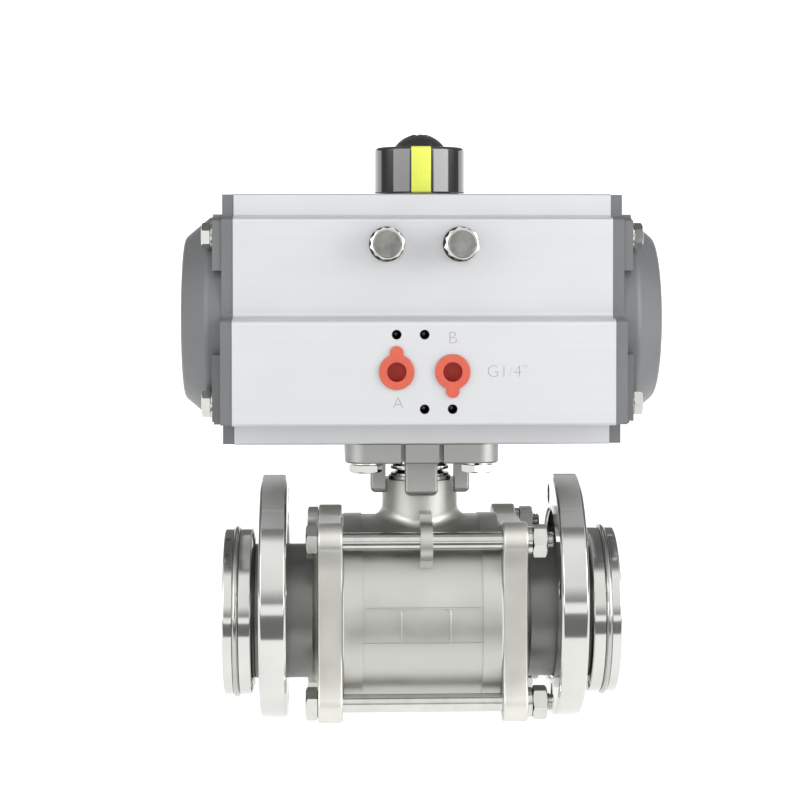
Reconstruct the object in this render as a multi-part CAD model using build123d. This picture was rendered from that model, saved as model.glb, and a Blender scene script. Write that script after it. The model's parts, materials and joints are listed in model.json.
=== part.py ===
from build123d import *
import os
from math import acos, copysign, cos, pi, radians, sin, sqrt, tan

# A DN50 stainless ball valve in three pieces, clamped by four tie bolts, with a double-acting
# rack-and-pinion air actuator on its mounting pad.
# Millimetres.  The origin is the ball's centre, +X runs along the pipe, -Y is the air-port side
# and +Z is up the stem.  The valve is drawn closed, with both pistons in.

# ---- fits and gaps ----
RUNNING_GAP = 0.05
STATIC_GAP = 0.02
CLEAR_GAP = 0.3

# ---- pipe and hubs ----
FLOW_R = 25.0
PIPE_R = 30.15
HUB_R = 37.5
HUB_BACK_X = 74.2
HUB_FACE_X = 88.0
HUB_BEVEL = 0.6
RECESS_R = 26.1
RECESS_DEPTH = 4.0
WIRE_R = 1.3
WIRE_RING_R = 37.4
WIRE_X = 82.4
WIRE_SPLIT = 5.0

# ---- loose flanges ----
RING_OUT_R = 55.0
RING_IN_R = 37.8
RING_INNER_X = 59.6
RING_THICK = 12.0
RING_RISE = 7.3
RING_PCD = 90.0
RING_HOLE_R = 4.5
RING_TURN = 10.0
RING_CHAMFER = 1.0

# ---- valve body and end caps ----
BODY_R = 44.0
BODY_WAIST_R = 43.1
BODY_HALF = 34.6
BAND_INNER_X = 26.4
CAVITY_R = 38.0
GASKET_THICK = 0.5
CAP_FACE_X = BODY_HALF + GASKET_THICK
CAP_OUTER_X = 46.0
CAP_HALF = 41.0
CAP_LOBE_R = 8.4
CAP_WEB = 23.0
SPIGOT_X = 31.2
SEAT_POCKET_R = 33.1
BALL_R = 36.5
SEAT_OUT_R = 33.0
SEAT_IN_R = 25.4
SEAT_INNER_X = 23.0

# ---- tie bolts, M8 ----
TIE_POS = 35.6
M8_R = 4.0
M8_HOLE_R = 4.3
M8_FLATS = 13.0
M8_HEAD = 5.3
M8_NUT = 6.5
SPRING_WASHER = 2.1
TIE_END_OVER_NUT = 3.0
KEEPER_R = 8.6
KEEPER_WIDTH = 5.4
KEEPER_WEB_TOP = 47.0
KEEPER_X = 1.6

# ---- label panel on the body's waist ----
PANEL_LOW_Z = -8.5
PANEL_HIGH_Z = 7.1
RIDGE_HALF = 0.35
RIDGE_RISE = 0.35
BRACKET_X = (-9.5, 12.0)

# ---- stem and packing ----
STEM_R = 10.0
STEM_SQUARE = 14.0
STEM_TOP = 95.5
STEM_SQUARE_Z = 73.5
COLLAR_R = 12.6
COLLAR_Z = (37.3, 40.3)
SLOT_FLOOR = 30.0
SLOT_WIDTH = 10.0
TANG_LENGTH = 24.0
STEM_POCKET_R = 13.0
STEM_POCKET_TOP = 42.5
PACKING_R = 14.0
PACKING_Z = 48.0
PACKING_RINGS = 3
PACKING_RING_HEIGHT = 2.6
GLAND_Z = (56.2, 61.5)
SPRING_OUT_R = 13.2
SPRING_Z = 61.7
NUT_FLATS = 24.0
NUT_Z = (66.4, 73.0)

# ---- neck, legs and mounting pad, ISO 5211 F07 ----
NECK_R = 16.9
NECK_TOP = 60.0
NECK_FLARE = 5.5
LEG_WIDTH = 14.5
LEG_OUT_R = 22.3
LEG_IN_R = 15.6
LEG_LOW = 54.0
PAD_HALF = 34.0
PAD_LOW = 69.5
PAD_TOP = 78.0
PAD_CORNER_R = 9.0
PAD_HOLE_R = 17.5
PAD_NOTCH_X = 8.4
PAD_NOTCH_WIDTH = 2.0
PAD_NOTCH_DEPTH = 8.0
MOUNT_HEAD = 3.7
MOUNT_WASHER = 0.8
F07_POS = 70.0 / 2 / sqrt(2)

# ---- actuator body ----
ACT_HALF = 82.4
ACT_LOW = PAD_TOP
ACT_TOP = 188.0
BORE_Z = 133.0
BORE_R = 41.5
TOP_HALF_Y = 38.0
SIDE_Y = 46.0
PAD_Y = 57.7
PAD_STEP_Z = 133.8
FOOT_HALF_Y = 34.0
FOOT_TOP = 88.0
SHOULDER_Z = 178.4
SHOULDER_DROP = 1.2

# ---- air port face, VDI/VDE 3845, and the accessory holes on top ----
PORT_Z = 111.2
PORT_X = 12.0
PORT_R = 5.72
PORT_DEPTH = 13.0
PORT_DUCT_R = 3.0
M5_TAP_R = 2.1
M5_DEPTH = 10.0
NAMUR_HOLES = ((-12.0, 16.0), (0.0, 16.0), (0.0, -16.0), (12.0, -16.0))
TOP_HOLES_X = 40.0
TOP_HOLES_Y = 15.0
GALLERY_R = 2.0
GALLERY_Z = 101.0
GALLERY_Y = -49.0

# ---- rack and pinion ----
MODULE = 1.5
TEETH = 22
PITCH_R = MODULE * TEETH / 2
PRESSURE = radians(20.0)
FLANK_THIN = 0.07
GEAR_Z = (119.0, 147.0)
RACK_HALF_Z = 12.5
TRAVEL = PITCH_R * pi / 2
HEAD_IN_X = 37.5
HEAD_THICK = 14.0
HEAD_R = 41.2
RACK_END_X = 35.0
RACK_FIRST = -2
RACK_LAST = 6
ARM_BACK_R = 37.9
RACK_PAD_R = 41.44

# ---- pinion shaft ----
LOWER_COLLAR_R = 18.28
LOWER_BORE_R = 18.35
LOWER_JOURNAL_R = 16.2
LOWER_COLLAR_TOP = 82.3
SOCKET = 17.1
SOCKET_TOP = 97.5
UPPER_JOURNAL_R = 10.4
UPPER_BORE_R = 13.0
HUB_SHAFT_R = 14.0
CAM_Z = (160.0, 167.5)
CAM_R = 22.0
CAM_SHAFT_R = 12.2
CAM_FLATS = 10.4
CAM_FACE = 12.7
CAM_HUB_R = 13.0
SHAFT_TOP = 206.0
SHAFT_TOP_R = 8.0
SHAFT_FLATS = 11.0
THRUST_Z = (188.05, 188.95)
CIRCLIP_Z = (189.05, 190.25)

# ---- stop bolts ----
STOP_X = 16.0
STOP_Z = 166.0
STOP_TIP_Y = -13.0
STOP_SEAL_THICK = 1.5
STOP_HEAD_Y = -58.0

# ---- end covers ----
COVER_PLATE = 5.0
COVER_PAD_X = 91.4
COVER_END_X = 106.8
DOME_R = 45.4
DOME_WALL = 4.4
SPIGOT_IN_R = 37.5
COVER_BOLT = 36.6
M6_R = 3.0
M6_FLATS = 10.0
M6_HEAD = 4.0
M6_WASHER = 1.2
COVER_BOLT_DEPTH = 16.0

# ---- position indicator ----
IND_R = 20.4
IND_LOW = 190.45
SKIRT = 1.4
SKIRT_WALL = 2.4
IND_TOP = 209.7
IND_SKIN = 1.2
STRIPE_WIDTH = 8.8
DOME_SCREW_R = 11.6
DOME_SCREW_TOP = 216.0

# ---- port plugs ----
PLUG_FLANGE_R = 7.6
PLUG_FLANGE = 1.6
PLUG_SHANK_R = 5.65
PLUG_HOLE_R = 4.15
PLUG_DEPTH = 9.0
TAB_WIDTH = 5.8
TAB_REACH = 11.1

UP = (0, 0, 1)
ALONG = (1, 0, 0)
OUTWARD = (0, -1, 0)
BASE = (Align.CENTER, Align.CENTER, Align.MIN)


# ---- small builders ----
def block(x0, x1, y0, y1, z0, z1):
    """Box between two corners."""
    middle = Pos((x0 + x1) / 2, (y0 + y1) / 2, (z0 + z1) / 2)
    return middle * Box(x1 - x0, y1 - y0, z1 - z0)


def rod(radius, start, length, direction):
    """Cylinder that leaves start in the given direction."""
    return Plane(origin=start, z_dir=direction) * Cylinder(radius, length, align=BASE)


def rod_z(radius, z0, z1, x=0.0, y=0.0):
    return rod(radius, (x, y, z0), z1 - z0, UP)


def rod_x(radius, x0, x1, y=0.0, z=0.0):
    return rod(radius, (x0, y, z), x1 - x0, ALONG)


def tube_z(outer, inner, z0, z1, x=0.0, y=0.0):
    return rod_z(outer, z0, z1, x, y) - rod_z(inner, z0, z1, x, y)


def tube_x(outer, inner, x0, x1, y=0.0, z=0.0):
    return rod_x(outer, x0, x1, y, z) - rod_x(inner, x0, x1, y, z)


def hexagon(flats, start, length, direction, turn=0.0):
    """Hexagonal prism with its end edges rounded off, as on a nut or a bolt head."""
    plane = Plane(origin=start, z_dir=direction)
    prism = extrude(Rot(0, 0, turn) * RegularPolygon(flats / 2, 6, major_radius=False), length)
    round_off = Cylinder(flats / 2 * 1.07, length, align=BASE)
    round_off = chamfer(round_off.edges().filter_by(GeomType.CIRCLE), flats * 0.035)
    return plane * (prism & round_off)


def turned_x(points, z=0.0):
    """Body of revolution about X from (x, radius) points."""
    face = Face(Wire.make_polygon([Vector(x, 0, r) for x, r in points], close=True))
    return Pos(0, 0, z) * revolve(face, Axis.X)


def turned_z(points):
    """Body of revolution about Z from (radius, z) points."""
    face = Face(Wire.make_polygon([Vector(r, 0, z) for r, z in points], close=True))
    return revolve(face, Axis.Z)


def ring_z(centre_r, section_r, z):
    return Pos(0, 0, z) * Torus(centre_r, section_r)


def ring_x(centre_r, section_r, x, z=0.0):
    return Plane(origin=(x, 0, z), z_dir=ALONG) * Torus(centre_r, section_r)


def to_left(shape):
    """The left-hand twin of a piece on the right."""
    return mirror(shape, about=Plane.YZ)


def both_corners(position):
    return [(y, z) for y in (-position, position) for z in (-position, position)]


# ---- valve ----
def make_valve_body():
    body = rod_x(BODY_WAIST_R, -BODY_HALF, BODY_HALF)
    for side in (-1, 1):
        low, high = sorted((side * BAND_INNER_X, side * BODY_HALF))
        body += rod_x(BODY_R, low, high)
    body += rod_z(NECK_R, 0, NECK_TOP)
    seam = body.edges().filter_by(lambda e: e.geom_type != GeomType.LINE)
    seam = seam.filter_by(lambda e: e.center().Z > 38 and abs(e.center().X) < NECK_R + 1)
    seam = seam.filter_by(lambda e: e.bounding_box().max.Z < NECK_TOP - 1)
    body = fillet(seam, NECK_FLARE)
    body += label_panel()
    for side in (-1, 1):
        body += keeper(side)
    body += mounting_pad()
    body -= rod_x(CAVITY_R, -BODY_HALF - 1, BODY_HALF + 1)
    body -= rod_z(STEM_POCKET_R, 20, STEM_POCKET_TOP)
    body -= rod_z(STEM_R + RUNNING_GAP, 20, NECK_TOP + 1)
    body -= rod_z(PACKING_R, PACKING_Z, NECK_TOP + 1)
    return body


def label_panel():
    """Two ridges along the waist and two brackets between them, with nothing written inside."""
    skin = tube_x(BODY_WAIST_R + RIDGE_RISE, BODY_WAIST_R - 1, -BAND_INNER_X, BAND_INNER_X)
    lines = Part()
    for z in (PANEL_LOW_Z, PANEL_HIGH_Z):
        lines += block(-BAND_INNER_X, BAND_INNER_X, -50, 0, z - RIDGE_HALF, z + RIDGE_HALF)
    for x in BRACKET_X:
        lines += block(x - RIDGE_HALF, x + RIDGE_HALF, -50, 0, PANEL_LOW_Z, PANEL_HIGH_Z)
    return skin & lines


def keeper(side):
    """Cast lug that steadies an upper tie bolt at its middle."""
    x0 = KEEPER_X - KEEPER_WIDTH / 2
    x1 = KEEPER_X + KEEPER_WIDTH / 2
    y = side * TIE_POS
    lug = rod_x(KEEPER_R, x0, x1, y, TIE_POS)
    web_y = sorted((side * 22, side * 36))
    lug += block(x0, x1, web_y[0], web_y[1], 24, 40)
    neck_y = sorted((side * 13, side * 31))
    lug += block(x0 - 0.6, x1 + 0.6, neck_y[0], neck_y[1], 36, KEEPER_WEB_TOP)
    lug = lug & rod_x(TIE_POS * sqrt(2) + KEEPER_R, x0, x1)
    lug -= rod_x(M8_HOLE_R, x0 - 1, x1 + 1, y, TIE_POS)
    return lug


def mounting_pad():
    """Square pad for the actuator on four legs that grow out of the neck."""
    outline = RectangleRounded(2 * PAD_HALF, 2 * PAD_HALF, PAD_CORNER_R)
    pad = Pos(0, 0, PAD_LOW) * extrude(outline, PAD_TOP - PAD_LOW)
    pad = chamfer(pad.faces().sort_by(Axis.Z)[0].edges(), 0.6)
    legs = Part()
    for turn in range(4):
        leg = block(LEG_IN_R, LEG_OUT_R, -LEG_WIDTH / 2, LEG_WIDTH / 2, LEG_LOW, PAD_LOW + 1)
        leg = fillet(leg.edges().filter_by(Axis.Z).sort_by(Axis.X)[-2:], 1.2)
        leg = fillet(leg.faces().sort_by(Axis.Z)[0].edges().sort_by(Axis.X)[-1], 2.4)
        legs += Rot(0, 0, 90 * turn) * leg
    pad += legs
    pad -= rod_z(PAD_HOLE_R, PAD_LOW - 1, PAD_TOP + 1)
    for turn in range(4):
        for x in (-PAD_NOTCH_X, PAD_NOTCH_X):
            half = PAD_NOTCH_WIDTH / 2
            inner = PAD_HALF - PAD_NOTCH_DEPTH
            notch = block(inner, PAD_HALF + 1, x - half, x + half, PAD_LOW - 1, PAD_TOP + 1)
            pad -= Rot(0, 0, 90 * turn) * notch
    for x, y in both_corners(F07_POS):
        pad -= rod_z(M8_HOLE_R, PAD_LOW - 1, PAD_TOP + 1, x, y)
    return pad


def lobe_webs(a, b):
    """Two wedges that lead from a bolt lobe down to the flat sides beside it."""
    side_a, side_b = copysign(1, a), copysign(1, b)
    edge = TIE_POS + CAP_LOBE_R
    first = Polyline((a, b), (side_a * edge, b), (side_a * CAP_HALF, side_b * CAP_WEB), close=True)
    second = Polyline((a, b), (a, side_b * edge), (side_a * CAP_WEB, side_b * CAP_HALF), close=True)
    return make_face(first), make_face(second)


def make_end_cap():
    """Square flange with a spigot for the seat and a short pipe for the hub."""
    plate = Box(2 * CAP_HALF, 2 * CAP_HALF, CAP_OUTER_X - CAP_FACE_X, align=BASE)
    plate = fillet(plate.edges().filter_by(Axis.Z), CAP_LOBE_R - 1)
    for a, b in both_corners(TIE_POS):
        lobe = Cylinder(CAP_LOBE_R, CAP_OUTER_X - CAP_FACE_X, align=BASE)
        plate += Pos(a, b, 0) * lobe
        for web in lobe_webs(a, b):
            plate += extrude(web, CAP_OUTER_X - CAP_FACE_X)
    cap = Plane(origin=(CAP_FACE_X, 0, 0), z_dir=ALONG) * plate
    cap = chamfer(cap.faces().filter_by(Axis.X).edges(), 0.6)
    cap += rod_x(CAVITY_R - 0.1, SPIGOT_X, CAP_FACE_X + 1)
    cap += rod_x(PIPE_R, CAP_OUTER_X - 1, HUB_BACK_X)
    cap += turned_x([(CAP_OUTER_X - 1, 20), (CAP_OUTER_X - 1, PIPE_R + 2.5),
                     (CAP_OUTER_X, PIPE_R + 2.5), (CAP_OUTER_X + 2.5, PIPE_R),
                     (CAP_OUTER_X + 2.5, 20)])
    cap -= rod_x(FLOW_R, SPIGOT_X - 1, HUB_BACK_X + 1)
    cap -= rod_x(SEAT_POCKET_R, SPIGOT_X - 1, BODY_HALF)
    for y, z in both_corners(TIE_POS):
        cap -= rod_x(M8_HOLE_R, CAP_FACE_X - 1, CAP_OUTER_X + 1, y, z)
    return cap


def make_body_gasket():
    return tube_x(BODY_R - 1, CAVITY_R + 0.2, BODY_HALF, CAP_FACE_X)


def make_hub():
    """Face ring on the pipe end, with a groove for the retaining wire and a centring recess."""
    groove_low = WIRE_X - WIRE_R - 0.1
    groove_high = WIRE_X + WIRE_R + 0.1
    groove_r = WIRE_RING_R - WIRE_R - 0.1
    return turned_x([
        (HUB_BACK_X, FLOW_R), (HUB_BACK_X, PIPE_R + 2.5), (HUB_BACK_X + 1.1, HUB_R - HUB_BEVEL),
        (HUB_BACK_X + 1.1 + HUB_BEVEL, HUB_R), (groove_low, HUB_R), (groove_low, groove_r),
        (groove_high, groove_r), (groove_high, HUB_R), (HUB_FACE_X - 0.5, HUB_R),
        (HUB_FACE_X, HUB_R - 0.5), (HUB_FACE_X, RECESS_R), (HUB_FACE_X - RECESS_DEPTH, RECESS_R),
        (HUB_FACE_X - RECESS_DEPTH, FLOW_R)])


def make_retaining_wire():
    split = block(WIRE_X - 3, WIRE_X + 3, -WIRE_SPLIT / 2, WIRE_SPLIT / 2, -HUB_R - 5, -HUB_R + 5)
    return ring_x(WIRE_RING_R, WIRE_R, WIRE_X) - split


def make_loose_flange():
    outer_x = RING_INNER_X + RING_THICK
    ring = tube_x(RING_OUT_R, RING_IN_R, RING_INNER_X, outer_x, 0, RING_RISE)
    ring = chamfer(ring.edges().filter_by(GeomType.CIRCLE), RING_CHAMFER)
    for quarter in range(4):
        angle = radians(RING_TURN + 90 * quarter)
        y = RING_PCD / 2 * sin(angle)
        z = RING_RISE + RING_PCD / 2 * cos(angle)
        ring -= rod_x(RING_HOLE_R, RING_INNER_X - 1, outer_x + 1, y, z)
    return ring


def make_tie_bolts():
    nut_x = CAP_OUTER_X + SPRING_WASHER
    bolts = Part()
    for y, z in both_corners(TIE_POS):
        bolt = rod_x(M8_R, -CAP_OUTER_X - 1, nut_x + M8_NUT + TIE_END_OVER_NUT, y, z)
        bolt = chamfer(bolt.edges().filter_by(GeomType.CIRCLE).sort_by(Axis.X)[-1], 0.8)
        bolt += hexagon(M8_FLATS, (-CAP_OUTER_X - M8_HEAD, y, z), M8_HEAD, ALONG, 15)
        bolts += bolt
    return bolts


def make_tie_bolt_washers():
    washers = Part()
    for y, z in both_corners(TIE_POS):
        outer_x = CAP_OUTER_X + SPRING_WASHER
        washer = tube_x(6.3, M8_R + STATIC_GAP, CAP_OUTER_X, outer_x, y, z)
        washer -= block(CAP_OUTER_X - 1, outer_x + 1, y - 0.4, y + 0.4, z, z + 8)
        washers += washer
    return washers


def make_tie_bolt_nuts():
    nut_x = CAP_OUTER_X + SPRING_WASHER
    nuts = Part()
    for y, z in both_corners(TIE_POS):
        nut = hexagon(M8_FLATS, (nut_x, y, z), M8_NUT, ALONG, 10)
        nuts += nut - rod_x(M8_R + STATIC_GAP, nut_x - 1, nut_x + M8_NUT + 1, y, z)
    return nuts


def make_ball():
    """Ball with its bore across the pipe, and the slot for the stem's tang along the pipe."""
    ball = Sphere(BALL_R)
    ball -= rod(FLOW_R, (0, -BALL_R - 1, 0), 2 * BALL_R + 2, (0, 1, 0))
    ball -= block(-BALL_R, BALL_R, -SLOT_WIDTH / 2, SLOT_WIDTH / 2, SLOT_FLOOR, BALL_R + 1)
    return ball


def make_seat():
    """Soft ring whose inner face is part of a sphere just larger than the ball."""
    face_r = BALL_R + RUNNING_GAP
    back_x = BODY_HALF - 0.1

    def on_sphere(radius):
        return (sqrt(face_r ** 2 - radius ** 2), 0, radius)

    inner = on_sphere(SEAT_IN_R)
    outer = on_sphere(sqrt(face_r ** 2 - SEAT_INNER_X ** 2))
    middle = on_sphere((inner[2] + outer[2]) / 2)
    corners = [outer, (SEAT_INNER_X, 0, SEAT_OUT_R), (back_x, 0, SEAT_OUT_R),
               (back_x, 0, SEAT_IN_R), inner]
    edges = ThreePointArc(inner, middle, outer) + Polyline(*corners)
    return revolve(make_face(edges), Axis.X)


def make_stem():
    tang_half = SLOT_WIDTH / 2 - 0.1
    tang = block(-TANG_LENGTH / 2, TANG_LENGTH / 2, -tang_half, tang_half, SLOT_FLOOR + 0.2,
                 COLLAR_Z[0] + 0.1)
    stem = tang & rod_z(COLLAR_R, SLOT_FLOOR, COLLAR_Z[1])
    stem += rod_z(COLLAR_R, *COLLAR_Z)
    stem += rod_z(STEM_R, COLLAR_Z[0], STEM_SQUARE_Z)
    half = STEM_SQUARE / 2
    square = block(-half, half, -half, half, STEM_SQUARE_Z - 1, STEM_TOP)
    stem += square & rod_z(STEM_R - 0.15, STEM_SQUARE_Z - 1, STEM_TOP)
    return stem


def make_stem_thrust_washer():
    return tube_z(COLLAR_R, STEM_R + 0.1, COLLAR_Z[1] + 0.08, STEM_POCKET_TOP - STATIC_GAP)


def make_stem_packing():
    rings = Part()
    for index in range(PACKING_RINGS):
        low = PACKING_Z + STATIC_GAP + index * (PACKING_RING_HEIGHT + RUNNING_GAP)
        rings += tube_z(PACKING_R - STATIC_GAP, STEM_R + RUNNING_GAP, low, low + PACKING_RING_HEIGHT)
    return rings


def make_gland_bush():
    return tube_z(PACKING_R - RUNNING_GAP, STEM_R + 0.1, *GLAND_Z)


def make_disc_springs():
    """Two coned washers, inner edge to inner edge."""
    inner = STEM_R + 0.2
    rise = 0.9
    thick = 1.0
    low = SPRING_Z + 0.05
    first = [(inner, low + rise), (SPRING_OUT_R, low), (SPRING_OUT_R, low + thick),
             (inner, low + rise + thick)]
    middle = low + rise + thick + 0.03
    second = [(r, 2 * middle - z) for r, z in first]
    return turned_z(first) + turned_z(second)


def make_nut_lock_tab():
    plate = Pos(0, 0, NUT_Z[0] - 0.6) * extrude(RectangleRounded(25, 25, 6), 0.55)
    return plate - rod_z(STEM_R + 0.1, NUT_Z[0] - 1, NUT_Z[0] + 1)


def make_stem_nut():
    nut = hexagon(NUT_FLATS, (0, 0, NUT_Z[0]), NUT_Z[1] - NUT_Z[0], UP)
    return nut - rod_z(STEM_R + STATIC_GAP, NUT_Z[0] - 1, NUT_Z[1] + 1)


def make_drive_adapter():
    """Square sleeve that fits the stem's square to the larger socket in the pinion."""
    outer = (SOCKET - 0.1) / 2
    inner = (STEM_SQUARE + 0.1) / 2
    low, high = PAD_TOP + 1, STEM_TOP - 0.5
    sleeve = block(-outer, outer, -outer, outer, low, high)
    return sleeve - block(-inner, inner, -inner, inner, low - 1, high + 1)


def make_mounting_bolts():
    bolts = Part()
    for x, y in both_corners(F07_POS):
        head_z = PAD_LOW - MOUNT_WASHER - MOUNT_HEAD
        bolt = hexagon(M8_FLATS, (x, y, head_z), MOUNT_HEAD, UP, 8)
        bolts += bolt + rod_z(M8_R, head_z + 1, ACT_LOW + 11, x, y)
    return bolts


def make_mounting_bolt_washers():
    washers = Part()
    for x, y in both_corners(F07_POS):
        washers += tube_z(7.2, M8_R + STATIC_GAP, PAD_LOW - MOUNT_WASHER, PAD_LOW, x, y)
    return washers


# ---- actuator ----
def body_outline(inset=0.0):
    """Cross-section of the extruded body, as a sketch whose x is the row's Y and y is its Z."""
    half = [(TOP_HALF_Y, ACT_TOP), (TOP_HALF_Y, SHOULDER_Z),
            (SIDE_Y, SHOULDER_Z - SHOULDER_DROP)]
    back = half + [(SIDE_Y, FOOT_TOP), (FOOT_HALF_Y, FOOT_TOP), (FOOT_HALF_Y, ACT_LOW)]
    front = half + [(SIDE_Y, PAD_STEP_Z), (PAD_Y, PAD_STEP_Z), (PAD_Y, FOOT_TOP),
                    (FOOT_HALF_Y, FOOT_TOP), (FOOT_HALF_Y, ACT_LOW)]
    points = back + [(-y, z) for y, z in reversed(front)]
    outline = make_face(Polyline(*points, close=True))
    step = [v for v in outline.vertices() if abs(v.Y - PAD_STEP_Z) < 0.1]
    outline = fillet(step, 2.6)
    sharp = [v for v in outline.vertices() if abs(v.Y - PAD_STEP_Z) > 3]
    outline = fillet(sharp, 1.2)
    if inset:
        outline = offset(outline, -inset)
    return outline


def along_body(outline, x0, x1):
    plane = Plane(origin=(x0, 0, 0), x_dir=(0, 1, 0), z_dir=ALONG)
    return plane * extrude(outline, x1 - x0)


def make_actuator_body():
    body = along_body(body_outline(), -ACT_HALF, ACT_HALF)
    body -= rod_x(BORE_R, -ACT_HALF - 1, ACT_HALF + 1, 0, BORE_Z)
    body -= rod_z(LOWER_BORE_R, ACT_LOW - 1, BORE_Z)
    body -= rod_z(UPPER_BORE_R, BORE_Z, ACT_TOP + 1)
    for x, y in both_corners(F07_POS):
        body -= rod_z(M8_R + STATIC_GAP, ACT_LOW - 1, ACT_LOW + 11.5, x, y)
    for y, z in both_corners(COVER_BOLT):
        for side in (-1, 1):
            start = (side * (ACT_HALF + 1), y, BORE_Z + z)
            body -= rod(M6_R + STATIC_GAP, start, COVER_BOLT_DEPTH + 2, (-side, 0, 0))
    for side in (-1, 1):
        body -= rod(M8_R + STATIC_GAP, (side * STOP_X, -PAD_Y, STOP_Z), PAD_Y - 10, (0, 1, 0))
    for x in (-TOP_HOLES_X, TOP_HOLES_X):
        for y in (-TOP_HOLES_Y, TOP_HOLES_Y):
            body -= rod_z(M5_TAP_R, ACT_TOP - M5_DEPTH, ACT_TOP + 1, x, y)
    return body - air_ways()


def air_ways():
    """Ports, their screw holes, the duct to the middle chamber and the gallery to both ends."""
    ways = Part()
    for x, z in NAMUR_HOLES:
        ways += rod(M5_TAP_R, (x, -PAD_Y - 1, PORT_Z + z), M5_DEPTH + 1, (0, 1, 0))
    for x in (-PORT_X, PORT_X):
        ways += rod(PORT_R, (x, -PAD_Y - 1, PORT_Z), PORT_DEPTH + 1, (0, 1, 0))
    ways += rod(PORT_DUCT_R, (-PORT_X, -PAD_Y + PORT_DEPTH - 1, PORT_Z), 20, (0, 1, 0))
    ways += rod_z(GALLERY_R, GALLERY_Z, PORT_Z, PORT_X, GALLERY_Y)
    ways += rod_x(GALLERY_R, -ACT_HALF - 1, ACT_HALF + 1, GALLERY_Y, GALLERY_Z)
    return ways


def dome(wall=0.0):
    """Round end of a cover: a short cylinder, a long bevel and a faintly crowned end."""
    base_x = ACT_HALF + 1
    radius = DOME_R - wall
    end_x = COVER_END_X - wall
    points = [(base_x, 0), (base_x, radius), (end_x - 12.6, radius),
              (end_x - 1.2, radius - 9.6), (end_x, 0)]
    face = make_face(Polyline(*points, close=True))
    bevel = [v for v in face.vertices() if base_x + 1 < v.X < end_x - 0.5]
    face = fillet(bevel, 4.0)
    upright = Plane(origin=(0, 0, BORE_Z), x_dir=ALONG, z_dir=(0, -1, 0)) * face
    return revolve(upright, Axis((0, 0, BORE_Z), ALONG))


def make_end_cover():
    inset = 0.35
    cover = along_body(body_outline(inset), ACT_HALF, ACT_HALF + COVER_PLATE)
    corners = Part()
    for y, z in both_corners(1):
        y0, y1 = sorted((26.5 * y, 47 * y))
        z0, z1 = sorted(((21.5 if z > 0 else 15.0) * z, 46 * z))
        corners += block(ACT_HALF, COVER_PAD_X, y0, y1, BORE_Z + z0, BORE_Z + z1)
    pads = along_body(body_outline(inset + 0.8), ACT_HALF, COVER_PAD_X) & corners
    cover += pads
    cover += dome()
    cover += rod_x(BORE_R - 0.1, ACT_HALF - 3, ACT_HALF + 1, 0, BORE_Z)
    cover -= rod_x(SPIGOT_IN_R, ACT_HALF - 4, ACT_HALF + 1.5, 0, BORE_Z)
    cover -= dome(DOME_WALL)
    cover -= ring_x(BORE_R - 0.9, 1.0, ACT_HALF - 1.5, BORE_Z)
    cover -= block(ACT_HALF - 1, ACT_HALF + 2, -51, -30, GALLERY_Z - 2, GALLERY_Z + 2)
    for y, z in both_corners(COVER_BOLT):
        cover -= rod_x(M6_R + 0.3, ACT_HALF - 1, COVER_PAD_X + 1, y, BORE_Z + z)
    return cover


def make_cover_seal():
    return ring_x(BORE_R - 0.9, 0.86, ACT_HALF - 1.5, BORE_Z)


def make_cover_bolts():
    bolts = Part()
    head_x = COVER_PAD_X + M6_WASHER
    for y, z in both_corners(COVER_BOLT):
        bolt = hexagon(M6_FLATS, (head_x, y, BORE_Z + z), M6_HEAD, ALONG, 5)
        bolt += rod_x(M6_R, ACT_HALF - COVER_BOLT_DEPTH, head_x + 1, y, BORE_Z + z)
        bolts += bolt + to_left(bolt)
    return bolts


def make_cover_bolt_washers():
    washers = Part()
    for y, z in both_corners(COVER_BOLT):
        washer = tube_x(5.8, M6_R + STATIC_GAP, COVER_PAD_X, COVER_PAD_X + M6_WASHER, y, BORE_Z + z)
        washers += washer + to_left(washer)
    return washers


def involute(angle):
    return tan(angle) - angle


def gear_outline():
    """Involute teeth, thinned a little for backlash, with a tooth on each of +Y and -Y."""
    base_r = PITCH_R * cos(PRESSURE)
    tip_r = PITCH_R + MODULE
    root_r = PITCH_R - 1.25 * MODULE
    at_pitch = pi / (2 * TEETH) - FLANK_THIN / PITCH_R
    steps = 5
    radii = [root_r] + [base_r + (tip_r - base_r) * i / steps for i in range(steps + 1)]
    flank = []
    for r in radii:
        pressure_here = acos(base_r / max(r, base_r))
        flank.append((r, at_pitch + involute(PRESSURE) - involute(pressure_here)))
    points = []
    for tooth in range(TEETH):
        middle = pi / 2 + 2 * pi * tooth / TEETH
        points += [(r * cos(middle - a), r * sin(middle - a)) for r, a in flank]
        points += [(r * cos(middle + a), r * sin(middle + a)) for r, a in reversed(flank)]
    return make_face(Polyline(*points, close=True))


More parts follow.
